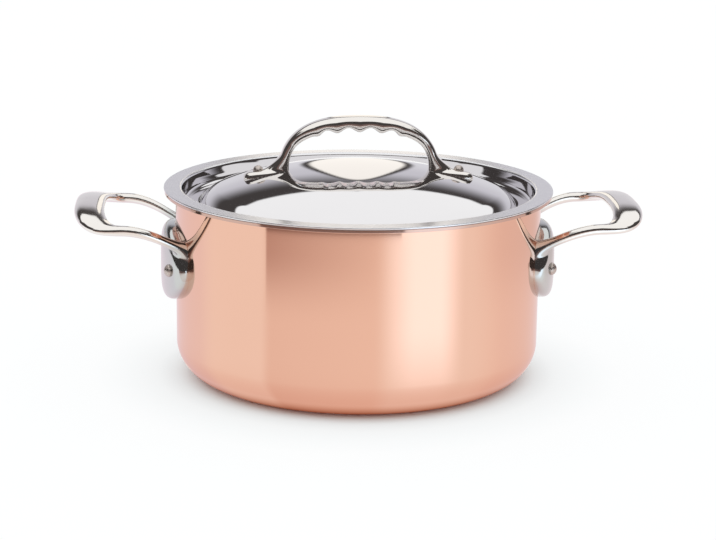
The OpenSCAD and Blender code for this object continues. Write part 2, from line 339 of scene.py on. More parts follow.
def surface_net(shape: Field, low: Array, high: Array, step: float) -> Surface:
    """Mesh of the zero level of a field, with one point in each grid cell that it crosses.

    A cell's point is the mean of the crossings on its edges, and each crossed edge gives one
    quad of the four cells round it. The points then settle on the zero level exactly.

    Args:
        shape: The field, negative inside the solid.
        low: Lowest corner of the grid.
        high: Highest corner of the grid.
        step: Size of a cell.

    Returns:
        The closed surface, its faces turned outwards.
    """
    counts = np.ceil((high - low) / step).astype(int) + 1
    axes = [low[i] + step * np.arange(counts[i]) for i in range(3)]
    nodes = np.stack(np.meshgrid(*axes, indexing="ij"), axis=-1)
    values = shape(nodes.reshape(-1, 3)).reshape(counts)
    cells = counts - 1
    total = np.zeros((cells.prod(), 3))
    hits = np.zeros(cells.prod())
    quads = []
    for along in range(3):
        second, third = (along + 1) % 3, (along + 2) % 3
        inner = [slice(1, -1)] * 3
        inner[along] = slice(0, -1)
        start = values[tuple(inner)]
        inner[along] = slice(1, None)
        end = values[tuple(inner)]
        place = np.argwhere((start < 0.0) != (end < 0.0))
        before, after = start[tuple(place.T)], end[tuple(place.T)]
        place[:, second] += 1
        place[:, third] += 1
        crossing = place.astype(float)
        crossing[:, along] += before / (before - after)
        corners = []
        for back_second, back_third in ((1, 1), (0, 1), (0, 0), (1, 0)):
            cell = place.copy()
            cell[:, second] -= back_second
            cell[:, third] -= back_third
            number = np.ravel_multi_index(tuple(cell.T), tuple(cells))
            hits += np.bincount(number, minlength=len(hits))
            for i in range(3):
                total[:, i] += np.bincount(number, weights=crossing[:, i], minlength=len(hits))
            corners.append(number)
        quad = np.stack(corners, axis=1)
        quads.append(np.where((before < 0.0)[:, None], quad, quad[:, ::-1]))
    used = hits > 0
    renumber = np.cumsum(used) - 1
    points = low + step * total[used] / hits[used, None]
    return Surface(settled(points, shape, step), renumber[np.concatenate(quads)])


def settled(points: Array, shape: Field, step: float) -> Array:
    """Moves points onto the zero level of a field along its slope, by no more than half a cell.

    Args:
        points: Points near the zero level.
        shape: The field.
        step: Size of a grid cell.

    Returns:
        The moved points.
    """
    reach, furthest, least_slope2 = 0.02, step / 2.0, 0.1
    value = shape(points)
    slope = np.stack([(shape(points + way) - value) / reach for way in reach * np.eye(3)], axis=1)
    steep = np.sqrt(np.maximum((slope**2).sum(axis=1), least_slope2))
    unit = slope / steep[:, None]
    first = points - np.clip(value / steep, -furthest, furthest)[:, None] * unit
    return first - np.clip(shape(first) / steep, -furthest, furthest)[:, None] * unit


@dataclass
class Graph:
    """The nodes of a material or of the world, with a short way to add and join them."""

    tree: bpy.types.NodeTree

    def feed(self, node: Node, inputs: dict[str | int, object]) -> None:
        """Sets inputs of a node: a socket is linked, and anything else is a plain value."""
        for name, value in inputs.items():
            if isinstance(value, Socket):
                self.tree.links.new(value, node.inputs[name])
            else:
                node.inputs[name].default_value = value

    def add(self, kind: str, inputs: dict[str | int, object] | None = None, **options: str) -> Node:
        """Adds a node.

        Args:
            kind: Its type, without the ShaderNode in front.
            inputs: The socket or the plain value for each input that is set.
            options: The node's own settings, which are made before its inputs.

        Returns:
            The new node.
        """
        node = self.tree.nodes.new(f"ShaderNode{kind}")
        for name, value in options.items():
            setattr(node, name, value)
        self.feed(node, inputs or {})
        return node


@dataclass(frozen=True)
class Rim:
    """The other colour and roughness of a finish past a distance from the pot's axis."""

    radius: float
    blend_w: float
    color: Color
    roughness: float


@dataclass(frozen=True)
class Finish:
    """A polished metal: its colour and the fine marks that break up its reflections."""

    name: str
    color: Color
    tint: Color
    roughness: float
    roughness_swing: float
    marks: Marks
    mark_size: float
    mark_depth: float
    swell_size: float
    swell_depth: float
    rim: Rim | None = None
    mark_detail: float = 3.0
    swell_detail: float = 1.0

    def _rings(self, graph: Graph, place: Socket) -> Socket:
        """A coordinate whose X is the distance from the axis and whose Z is the height."""
        parts = graph.add("SeparateXYZ", {0: place}).outputs
        flat = graph.add("CombineXYZ", {"X": parts["X"], "Y": parts["Y"]})
        radius = graph.add("VectorMath", {0: flat.outputs[0]}, operation="LENGTH")
        rings = graph.add("CombineXYZ", {"X": radius.outputs["Value"], "Z": parts["Z"]})
        return rings.outputs[0]

    def _noise(self, graph: Graph, place: Socket, size: float, detail: float) -> Socket:
        """A noise whose features are about a given size.

        Args:
            graph: The material's nodes.
            place: The coordinate that the noise reads.
            size: Size of a feature, in millimetres.
            detail: Number of finer octaves.

        Returns:
            The noise's value socket.
        """
        inputs = {"Vector": place, "Scale": 1.0 / (size * METRES), "Detail": detail}
        return graph.add("TexNoise", inputs).outputs["Fac"]

    def _rimmed(
        self, graph: Graph, rings: Socket, color: Socket, roughness: Socket
    ) -> tuple[Socket, Socket]:
        """Changes the colour and roughness to the rim's own past its radius.

        Args:
            graph: The material's nodes.
            rings: The coordinate whose X is the radius.
            color: The colour inside the rim.
            roughness: The roughness inside the rim.

        Returns:
            The colour and roughness of the whole part.
        """
        past = graph.add("MapRange", {
            "Value": graph.add("SeparateXYZ", {0: rings}).outputs["X"],
            "From Min": self.rim.radius * METRES,
            "From Max": (self.rim.radius + self.rim.blend_w) * METRES,
        }).outputs["Result"]
        paint = {"Factor": past, "A": color, "B": (*self.rim.color, 1.0)}
        dull = {"Value": past, "To Min": roughness, "To Max": self.rim.roughness}
        return (
            graph.add("Mix", paint, data_type="RGBA").outputs["Result"],
            graph.add("MapRange", dull).outputs["Result"],
        )

    def material(self) -> bpy.types.Material:
        """Builds the node material of this finish.

        Returns:
            The material, with its colour, roughness and bump driven by noise.
        """
        material = bpy.data.materials.new(self.name)
        material.use_nodes = True
        graph = Graph(material.node_tree)
        whole = graph.add("TexCoord").outputs["Object"]
        rings = self._rings(graph, whole)
        place = whole if self.marks is Marks.CAST else rings
        marks = self._noise(graph, place, self.mark_size, self.mark_detail)
        swells = self._noise(graph, whole, self.swell_size, self.swell_detail)
        paint = {"Factor": swells, "A": (*self.color, 1.0), "B": (*self.tint, 1.0)}
        color = graph.add("Mix", paint, data_type="RGBA").outputs["Result"]
        roughness = graph.add("MapRange", {
            "Value": marks,
            "To Min": self.roughness - self.roughness_swing,
            "To Max": self.roughness + self.roughness_swing,
        }).outputs["Result"]
        if self.rim is not None:
            color, roughness = self._rimmed(graph, rings, color, roughness)
        fine = graph.add("Bump", {"Distance": self.mark_depth * METRES, "Height": marks})
        broad = graph.add("Bump", {
            "Distance": self.swell_depth * METRES,
            "Height": swells,
            "Normal": fine.outputs["Normal"],
        })
        graph.feed(graph.tree.nodes["Principled BSDF"], {
            "Metallic": 1.0,
            "Base Color": color,
            "Roughness": roughness,
            "Normal": broad.outputs["Normal"],
        })
        return material


POLISHED_COPPER = Finish(
    "polished_copper", color=(0.86, 0.53, 0.40), tint=(0.85, 0.52, 0.39),
    roughness=0.055, roughness_swing=0.015,
    marks=Marks.RINGS, mark_size=0.25, mark_depth=0.0006, swell_size=45.0, swell_depth=0.006,
    # Painted shade: the rim's darker colour darkens the copper under the lip and on its edge.
    rim=Rim(radius=103.4, blend_w=0.6, color=(0.62, 0.42, 0.35), roughness=0.1),
)
SATIN_LINING = Finish(
    "satin_lining", color=(0.62, 0.61, 0.60), tint=(0.58, 0.575, 0.57),
    roughness=0.26, roughness_swing=0.05,
    marks=Marks.RINGS, mark_size=0.2, mark_depth=0.004, swell_size=30.0, swell_depth=0.01,
)
MIRROR_LID = Finish(
    "mirror_lid", color=(0.83, 0.82, 0.83), tint=(0.81, 0.80, 0.81),
    roughness=0.035, roughness_swing=0.01,
    marks=Marks.RINGS, mark_size=0.25, mark_depth=0.0006, swell_size=40.0, swell_depth=0.006,
    rim=Rim(radius=98.25, blend_w=0.35, color=(0.84, 0.84, 0.86), roughness=0.22),
)
POLISHED_CASTING = Finish(
    "polished_casting", color=(0.87, 0.84, 0.80), tint=(0.84, 0.81, 0.77),
    roughness=0.08, roughness_swing=0.03,
    marks=Marks.CAST, mark_size=1.2, mark_depth=0.003, swell_size=9.0, swell_depth=0.03,
)
# Painted shade: the flange and the arms' roots, where they sit on the wall, are a darker grey than the
# loop, which the rim gives the lid handle's polished colour.
SIDE_CASTING_PAINTED_SHADE = Finish(
    "side_casting_painted_shade", color=(0.625, 0.64, 0.63), tint=(0.585, 0.60, 0.59),
    roughness=0.1, roughness_swing=0.03,
    marks=Marks.CAST, mark_size=1.2, mark_depth=0.003, swell_size=9.0, swell_depth=0.03,
    rim=Rim(radius=110.0, blend_w=9.0, color=(0.87, 0.84, 0.80), roughness=0.08),
)
SATIN_RIVET = Finish(
    "satin_rivet", color=(0.62, 0.55, 0.51), tint=(0.56, 0.50, 0.46),
    roughness=0.36, roughness_swing=0.05,
    marks=Marks.CAST, mark_size=0.5, mark_depth=0.004, swell_size=3.0, swell_depth=0.01,
)


def add_piece(
    surface: Surface, name: str, finish: bpy.types.Material, body: str, node: str
) -> None:
    """Makes the piece that stands for one CAD node and puts it on its body.

    Args:
        surface: The piece's surface, in millimetres.
        name: The piece's name.
        finish: Its material.
        body: The CAD body that carries it.
        node: The CAD node that it replaces.
    """
    piece = bpy.data.objects.new(name, surface.mesh(name))
    bpy.context.scene.collection.objects.link(piece)
    piece.data.materials.append(finish)
    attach(piece, body)
    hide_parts(node)
    low, high = surface.points.min(axis=0), surface.points.max(axis=0)
    cad_low, cad_high = box_mm(node)
    over = max((cad_low - low).max(), (high - cad_high).max())
    faces = 2 * len(surface.quads) + len(surface.triangles)
    log.info("%s rides on %s: %d triangles, past its node by %.2f mm", name, body, faces, over)


@dataclass
class Pot:
    """The copper pot and its thin steel lining, turned from one profile."""

    copper_t: float = 1.7
    lining_t: float = 0.3
    base_corner_r: float = 20.0
    lip_bend_r: float = 1.3
    lip_flat_w: float = 4.7
    edge_r: float = 0.15
    columns: int = 384
    corner_steps: int = 40
    bend_steps: int = 24
    edge_steps: int = 6
    longest: float = 4.0

    @cached_property
    def height(self) -> float:
        """Height of the top of the lip."""
        return float(box_mm("steel_lining")[1][2])

    @cached_property
    def lip_r(self) -> float:
        """Radius of the edge of the lip."""
        return float(box_mm("copper_shell")[1][0])

    @property
    def wall_r(self) -> float:
        """Outside radius of the wall."""
        return self.lip_r - self.lip_bend_r - self.lip_flat_w

    @property
    def wall_in_r(self) -> float:
        """Inside radius of the wall, on the lining."""
        return self.wall_r - self.copper_t - self.lining_t

    def line(self, depth: float) -> Array:
        """Line of the sheet at a depth below its outer face, from the axis to the edge of the lip.

        Args:
            depth: Depth below the outer face.

        Returns:
            Points of radius and height: the base, its corner, the wall and the bend of the lip.
        """
        corner, bend = self.base_corner_r, self.lip_bend_r
        bend_z = self.height - self.copper_t - self.lining_t - bend
        return np.concatenate([
            [[0.0, depth]],
            arc(self.wall_r - corner, corner, corner - depth, -90.0, 0.0, self.corner_steps),
            [[self.wall_r - depth, bend_z - BEND_GUARD]],
            arc(self.wall_r + bend, bend_z, bend + depth, 180.0, 90.0, self.bend_steps),
            [[self.lip_r, bend_z + bend + depth]],
        ])

    def sheet(self, start: float, end: float) -> Surface:
        """Closed shell between two depths of the sheet, with its edge slightly rounded.

        Args:
            start: Depth of the outer face.
            end: Depth of the inner face.

        Returns:
            The turned surface.
        """
        outer, inner = self.line(start), self.line(end)
        low, high = outer[-1, 1], inner[-1, 1]
        r = min(self.edge_r, (end - start) / 2.0)
        guard = min(EDGE_GUARD, (high - low) / 2.0 - r)
        edge = np.concatenate([
            arc(self.lip_r - r, low + r, r, -90.0, 0.0, self.edge_steps),
            [[self.lip_r, low + r + guard], [self.lip_r, high - r - guard]],
            arc(self.lip_r - r, high - r, r, 0.0, 90.0, self.edge_steps),
        ])
        profile = np.concatenate([outer[:-1], edge, inner[-2::-1]])
        return revolve(refine(profile, self.longest), self.columns)

    def build(self) -> None:
        """Makes the copper shell and the lining."""
        shell = self.sheet(0.0, self.copper_t)
        copper = POLISHED_COPPER.material()
        add_piece(shell, "copper_pot", copper, "pot", "copper_shell")
        lining = self.sheet(self.copper_t, self.copper_t + self.lining_t)
        satin = SATIN_LINING.material()
        add_piece(lining, "pot_lining", satin, "pot", "steel_lining")


@dataclass
class Lid:
    """The lid: a flat flange, a plug wall, a trough and a shallow dome, pressed from one sheet."""

    sheet_t: float = 1.0
    plug_gap: float = 0.8
    bend_r: float = 1.6
    trough_depth: float = 9.8
    trough_corner_r: float = 3.0
    trough_w: float = 5.3
    shoulder_r: float = 21.0
    shoulder_sink: float = 11.5
    edge_r: float = 0.4
    columns: int = 294
    dome_steps: int = 60
    shoulder_steps: int = 40
    bend_steps: int = 16
    edge_steps: int = 8
    longest: float = 2.5
    pot: Pot = field(default_factory=Pot)

    @cached_property
    def edge_radius(self) -> float:
        """Radius of the edge of the flange."""
        return float(box_mm("lid_plate")[1][0])

    @cached_property
    def top_z(self) -> float:
        """Height of the top of the dome."""
        return float(box_mm("lid_plate")[1][2])

    @property
    def flange_z(self) -> float:
        """Height of the upper face of the flange."""
        return self.pot.height + self.sheet_t

    @property
    def plug_r(self) -> float:
        """Radius of the upper face of the plug wall."""
        return self.pot.wall_in_r - self.plug_gap - self.sheet_t

    @property
    def shoulder(self) -> tuple[float, float]:
        """Radius and height of the centre of the shoulder's arc."""
        trough_z = self.flange_z - self.trough_depth
        return self.plug_r - self.trough_w - self.shoulder_r, trough_z - self.shoulder_sink

    @property
    def dome_r(self) -> float:
        """Radius of the dome, which touches the shoulder and passes through the top point."""
        x, z = self.shoulder
        rise = self.top_z - z
        return (x**2 + rise**2 - self.shoulder_r**2) / (2.0 * (rise - self.shoulder_r))

    @property
    def dome_z(self) -> float:
        """Height of the dome's centre, far below the pot."""
        return self.top_z - self.dome_r

    def line(self, depth: float) -> Array:
        """Line of the sheet at a depth below its upper face, from the axis to near the edge.

        Args:
            depth: Depth below the upper face.

        Returns:
            Points of radius and height: dome, shoulder, trough, plug wall and bend.
        """
        x, z = self.shoulder
        corner, bend, steps = self.trough_corner_r, self.bend_r, self.bend_steps
        bottom_z = self.flange_z - self.trough_depth + corner
        cap = np.degrees(np.arcsin(x / (self.dome_r - self.shoulder_r)))
        run = np.sqrt((self.shoulder_r + corner) ** 2 - (bottom_z - z) ** 2)
        turn = np.degrees(np.arctan2(bottom_z - z, run))
        return np.concatenate([
            arc(0.0, self.dome_z, self.dome_r - depth, 90.0, 90.0 - cap, self.dome_steps),
            arc(x, z, self.shoulder_r - depth, 90.0 - cap, turn, self.shoulder_steps)[1:],
            arc(x + run, bottom_z, corner + depth, 180.0 + turn, 270.0, steps)[1:],
            arc(self.plug_r - corner, bottom_z, corner + depth, 270.0, 360.0, steps),
            arc(self.plug_r + bend, self.flange_z - bend, bend - depth, 180.0, 90.0, steps),
            [[self.plug_r + bend + BEND_GUARD, self.flange_z - depth]],
        ])

    def build(self) -> None:
        """Makes the lid's sheet."""
        r = self.edge_r
        top, bottom = self.flange_z, self.flange_z - self.sheet_t
        flat_r = self.edge_radius - r - BEND_GUARD
        edge = np.concatenate([
            [[flat_r, bottom]],
            arc(self.edge_radius - r, bottom + r, r, -90.0, 0.0, self.edge_steps),
            arc(self.edge_radius - r, top - r, r, 0.0, 90.0, self.edge_steps),
            [[flat_r, top]],
        ])
        profile = np.concatenate([self.line(self.sheet_t), edge, self.line(0.0)[::-1]])
        surface = revolve(refine(profile, self.longest), self.columns)
        add_piece(surface, "lid_sheet", MIRROR_LID.material(), "lid", "lid_plate")


@dataclass(frozen=True)
class Pad:
    """Sizes of a domed pad, which starts at a depth inside its seat."""

    length: float
    width: float
    thick: float
    depth: float
    power: float
    plan_power: float


@dataclass
class Casting:
    """What the cast handles share: a band between two edges, and a domed foot on a round seat."""

    bar_power: float = 2.5
    join_r: float = 1.5
    grid_step: float = 0.62
    room_steps: float = 3.0
    sink: float = 0.5

    def shape(self, points: Array) -> Array:
        """The field of the whole casting, which each handle gives."""
        raise NotImplementedError

    def cast(self, node: str) -> Surface:
        """The casting's surface, on a grid that reaches a few steps past the node's box.

        Args:
            node: The CAD node that gives the box.

        Returns:
            The closed surface.
        """
        low, high = box_mm(node)
        room = self.room_steps * self.grid_step
        return surface_net(self.shape, low - room, high + room, self.grid_step)

    def bar_gap(self, across: Array, half_w: Array, lift: Array, half_t: Array) -> Array:
        """Distance to a bar whose section is a superellipse.

        Args:
            across: Offset from the middle of the bar, along its width.
            half_w: Half its width there.
            lift: Offset along its thickness.
            half_t: Half its thickness there.

        Returns:
            One distance for each point, negative inside.
        """
        power = self.bar_power
        gauge = (np.abs(across / half_w) ** power + np.abs(lift / half_t) ** power) ** (1.0 / power)
        return gauge_gap(np.stack([across, lift], axis=-1), gauge)

    def pad_gap(self, along: Array, wide: Array, high: Array, pad: Pad) -> Array:
        """Distance to a domed pad.

        Args:
            along: Offset along the pad's length, measured round its seat.
            wide: Offset along its width.
            high: Height above the seat.
            pad: The pad's sizes.

        Returns:
            One distance for each point, negative inside.
        """
        plan, dome = pad.plan_power, pad.power
        u, v = np.abs(2.0 * along / pad.length), np.abs(2.0 * wide / pad.width)
        lift = high + pad.depth
        gauge = (u**plan + v**plan) ** (dome / plan) + np.abs(lift / (pad.thick + pad.depth)) ** dome
        return gauge_gap(np.stack([along, wide, lift], axis=-1), gauge ** (1.0 / dome))


@dataclass
class SideHandle(Casting):
    """A cast side handle: a domed flange on the wall and a bowed loop that grows out of it."""

    pot: Pot = field(default_factory=Pot)
    arm_span: float = 86.0
    root_inset: float = 7.6
    arm_w: float = 6.9
    arm_t: float = 5.5
    grip_w: float = 16.3
    grip_t: float = 5.8
    outer_turn: float = 33.0
    inner_turn: float = 27.3
    outer_corner: float = 3.0
    inner_corner: float = 2.7
    arm_drop: float = 15.0
    arm_rise: float = 14.9
    arm_level: float = 29.4
    grip_bow: float = 5.6
    bow_power: float = 2.8
    root_flare: float = 5.0
    root_flare_l: float = 13.0
    root_depth: float = 2.0
    flange: Pad = Pad(length=79.6, width=41.6, thick=8.4, depth=2.0, power=4.6, plan_power=2.15)
    flange_drop: float = 40.5
    arm_steps: int = 40
    corner_steps: int = 60
    run_in_steps: float = 20.0

    @cached_property
    def reach(self) -> float:
        """Distance from the wall to the outer edge of the grip."""
        return float(box_mm("right_handle")[1][0]) - self.pot.wall_r

    @property
    def root(self) -> tuple[float, float]:
        """Place of an arm's root in plan, just inside the face of the wall."""
        angle = (self.flange.length / 2.0 - self.root_inset) / self.pot.wall_r
        return self.pot.wall_r * np.cos(angle) - self.root_depth, self.pot.wall_r * np.sin(angle)

    def edge(self, turn: float, far: float, side_w: float, corner: float) -> Array:
        """One edge of the loop in plan, from one root round the grip to the other.

        An arm's edge follows a quarter sine from its root to the turn, and runs on straight
        inside the wall. The corner is a quarter of a superellipse, and the rest is its mirror
        image.

        Args:
            turn: Distance from the wall to where the corner starts.
            far: Distance from the wall to the middle of the grip's edge.
            side_w: Offset of this edge from the arm's centre line.
            corner: Squareness of the corner.

        Returns:
            Points of the edge, with the outside of the loop on their left.
        """
        root_x, root_y = self.root
        half_span = self.arm_span / 2.0
        k = np.linspace(0.0, 1.0, self.arm_steps, endpoint=False)
        x = root_x + (self.pot.wall_r + turn - root_x) * k
        arm = np.stack([x, root_y + side_w + (half_span - root_y) * np.sin(k * np.pi / 2.0)], axis=1)
        start = arm[:1] + (arm[:1] - arm[1:2]) * [[self.run_in_steps, 0.0]]
        unit = rounded_square(np.linspace(np.pi / 2.0, 0.0, self.corner_steps), corner)
        bend = unit * [far - turn, half_span + side_w] + [self.pot.wall_r + turn, 0.0]
        half = np.concatenate([start, arm, bend])
        return np.concatenate([half, half[-2::-1] * [1.0, -1.0]])

    @cached_property
    def edges(self) -> tuple[Array, Array]:
        """Inner and outer edge of the loop in plan."""
        side_w = self.arm_w / 2.0
        return (
            self.edge(self.inner_turn, self.reach - self.grip_w, -side_w, self.inner_corner),
            self.edge(self.outer_turn, self.reach, side_w, self.outer_corner),
        )

    def loop_gap(self, points: Array) -> Array:
        """Distance to the loop.

        The band between the two edges gives a point's offset across the bar and the bar's width
        there. The bar's height follows the arm's climb and the bow of the grip.

        Args:
            points: Points in space.

        Returns:
            One distance for each point, negative inside.
        """
        inner, outer = band_gaps(points[:, :2], self.edges)
        width = inner - outer
        across = (inner + outer) / 2.0
        share = 2.0 * across / width
        x, y, z = points.T
        root_x = self.root[0]
        climb = np.clip((x - root_x) / (self.pot.wall_r + self.arm_level - root_x), 0.0, 1.0)
        arm_z = self.pot.height - self.arm_drop - self.arm_rise * (1.0 - np.sin(climb * np.pi / 2.0))
        middle_turn = (self.inner_turn + self.outer_turn) / 2.0
        lean = (self.outer_turn - self.inner_turn) / 2.0 * np.clip(share, -1.0, 1.0)
        gripping = x > self.pot.wall_r + middle_turn + lean
        turned_y = y / (self.arm_span / 2.0 + self.arm_w / 2.0 * np.clip(share, -1.0, 1.0))
        rise = np.maximum(0.0, 1.0 - np.abs(turned_y) ** self.bow_power)
        bow = np.where(gripping, self.grip_bow * rise, 0.0)
        flare = self.root_flare * np.maximum(0.0, 1.0 - (x - root_x) / self.root_flare_l) ** 2
        wide = smooth((width - self.arm_w) / (self.grip_w - self.arm_w))
        half_t = (self.arm_t + (self.grip_t - self.arm_t) * wide + flare) / 2.0
        half_w = width / 2.0 * (1.0 + flare / self.arm_w)
        return self.bar_gap(across, half_w, z - arm_z - bow, half_t)

    def flange_gap(self, points: Array) -> Array:
        """Distance to the flange, a domed pad that is bent round the wall."""
        x, y, z = points.T
        along = self.pot.wall_r * np.arctan2(y, x)
        high = np.hypot(x, y) - self.pot.wall_r
        return self.pad_gap(along, z - self.pot.height + self.flange_drop, high, self.flange)

    def shape(self, points: Array) -> Array:
        """The whole casting: loop and flange joined smoothly and cut just inside the wall's face."""
        joined = blended([self.loop_gap(points), self.flange_gap(points)], self.join_r)
        return np.maximum(joined, self.pot.wall_r - self.sink - np.hypot(points[:, 0], points[:, 1]))

    def build(self) -> None:
        """Makes the right handle, and the left one as the same casting turned half round."""
        right, finish = self.cast("right_handle"), SIDE_CASTING_PAINTED_SHADE.material()
        add_piece(right, "right_loop_handle", finish, "pot", "right_handle")
        left = right.turned(np.diag([-1.0, -1.0, 1.0]))
        add_piece(left, "left_loop_handle", finish, "pot", "left_handle")


@dataclass
class LidHandle(Casting):
    """The cast handle of the lid: an arch with finger waves under its grip, and two feet."""

    lid: Lid = field(default_factory=Lid)
    leg_spread: float = 41.8
    arch_power: float = 2.42
    bar_power: float = 3.2
    grip_w: float = 13.0
    leg_w: float = 10.0
    leg_t: float = 5.6
    up_t: float = 3.2
    down_t: float = 4.5
    wave_depth: float = 1.3
    wave_pitch: float = 12.7
    wave_reach: float = 25.4
    web_w: float = 9.0
    web_h: float = 9.5
    handle_l: float = 128.8
    foot: Pad = Pad(length=25.0, width=12.0, thick=2.6, depth=6.0, power=6.0, plan_power=4.0)
    foot_fall: float = 4.0
    first_angle: float = -9.0
    arch_steps: int = 360
    least_t: float = 1.0
    low_share: float = 0.23
    grid_step: float = 0.5
    join_r: float = 0.5

    @cached_property
    def top_z(self) -> float:
        """Height of the top of the grip."""
        return float(box_mm("lid_handle")[1][2])

    @property
    def foot_place(self) -> tuple[float, float]:
        """Distance from the axis and height of the middle of a foot's seat on the dome."""
        x = (self.handle_l - self.foot.length) / 2.0
        return x, self.lid.dome_z + float(np.sqrt(self.lid.dome_r**2 - x**2))

    @property
    def arch_base_z(self) -> float:
        """Height at which the legs stand widest, on top of the feet."""
        return self.foot_place[1] + self.foot.thick

    @property
    def arch_h(self) -> float:
        """Rise of the arch's centre line."""
        return self.top_z - self.up_t - self.arch_base_z

    @cached_property
    def edges(self) -> tuple[Array, Array]:
        """Inner and outer edge of the arch in the XZ plane, with the outside on their left.

        The centre line is half a superellipse. Each edge is the centre line moved along its
        normal: the inner one by the grip's thickness and a cosine wave, and the outer one by an
        even thickness that spreads into a web above each foot.
        """
        angle = np.radians(np.linspace(180.0 - self.first_angle, self.first_angle, self.arch_steps))
        size = np.array([self.leg_spread, self.arch_h])
        line = rounded_square(angle, self.arch_power) * size
        way = np.gradient(line, axis=0)
        out = np.stack([-way[:, 1], way[:, 0]], axis=1) / np.linalg.norm(way, axis=1, keepdims=True)
        x, rise = line.T
        level = smooth(2.0 * rise / self.arch_h - 1.0)
        quarter = self.wave_pitch / 4.0
        waving = smooth((self.wave_reach + quarter - np.abs(x)) / (2.0 * quarter))
        wave = self.wave_depth * waving * np.cos(2.0 * np.pi * x / self.wave_pitch)
        web = self.web_w * np.maximum(0.0, 1.0 - rise / self.web_h) ** 2
        leg = self.leg_t / 2.0
        down, up = leg + (self.down_t - leg) * level + wave, leg + (self.up_t - leg) * level + web
        line = line + [0.0, self.arch_base_z]
        return line - out * down[:, None], line + out * up[:, None]

    def arch_gap(self, points: Array) -> Array:
        """Distance to the arch, a bar between its inner and outer edge.

        The grip is widest below the middle of its thickness, so that its front face turns up.

        Args:
            points: Points in space.

        Returns:
            One distance for each point, negative inside.
        """
        inner, outer = band_gaps(points[:, ::2], self.edges)
        level = smooth(2.0 * (points[:, 2] - self.arch_base_z) / self.arch_h - 1.0)
        half_w = (self.leg_w + (self.grip_w - self.leg_w) * level) / 2.0
        thick = np.maximum(inner - outer, self.least_t)
        low = (0.5 + (self.low_share - 0.5) * level) * thick
        lift = inner - low
        return self.bar_gap(lift, np.where(lift > 0.0, thick - low, low), points[:, 1], half_w)

    def foot_gap(self, points: Array, side: Side) -> Array:
        """Distance to one foot, a domed pad that is bent over the dome of the lid.

        Args:
            points: Points in space.
            side: The end of the handle.

        Returns:
            One distance for each point, negative inside.
        """
        x, z = self.foot_place
        local = (points - [side.value * x, 0.0, z]) @ turn_y(side.value * np.radians(self.foot_fall))
        bend = self.lid.dome_r
        turn = np.arctan2(local[:, 0], local[:, 2] + bend)
        high = np.hypot(local[:, 0], local[:, 2] + bend) - bend
        return self.pad_gap(bend * turn, local[:, 1], high, self.foot)

    def shape(self, points: Array) -> Array:
        """The whole casting: arch and feet joined smoothly and cut just inside the dome's face."""
        feet = [self.foot_gap(points, side) for side in Side]
        joined = blended([self.arch_gap(points), *feet], self.join_r)
        seat = np.linalg.norm(points - [0.0, 0.0, self.lid.dome_z], axis=1) - self.lid.dome_r
        return np.maximum(joined, -self.sink - seat)

    def build(self) -> None:
        """Makes the lid's handle."""
        surface, finish = self.cast("lid_handle"), POLISHED_CASTING.material()
        add_piece(surface, "lid_loop_handle", finish, "lid", "lid_handle")


@dataclass
class Rivet:
    """A solid rivet along Z, with its inner head's seat at 0."""

    shank_d: float
    head_d: float
    head_h: float
    tail_d: float
    tail_h: float
    edge_share: float = 0.35
    columns: int = 64
    dome_steps: int = 16
    longest: float = 1.5

    def head_line(self, d: float, h: float) -> Array:
        """Half outline of a domed head, from its seat to its top.

        Args:
            d: Diameter of the head.
            h: Height of the head.

        Returns:
            Points of radius and height: a short upright edge and an arc.
        """
        rise = h * (1.0 - self.edge_share)
        r = ((d / 2.0) ** 2 + rise**2) / (2.0 * rise)
        dome = arc(0.0, h - r, r, np.degrees(np.arccos(d / 2.0 / r)), 90.0, self.dome_steps)
        dome[-1, 0] = 0.0
        return np.concatenate([[[d / 2.0, 0.0]], dome])

    def surface(self, grip: float) -> Surface:
        """The turned rivet.

        Args:
            grip: Distance between the seats of its two heads.

        Returns:
            The closed surface.
        """
        tail = self.head_line(self.tail_d, self.tail_h) * [1.0, -1.0]
        shank = np.array([[self.shank_d / 2.0, 0.0], [self.shank_d / 2.0, grip]])
        head = self.head_line(self.head_d, self.head_h) + [0.0, grip]
        profile = np.concatenate([tail[::-1], shank, head])
        return revolve(refine(profile, self.longest), self.columns)


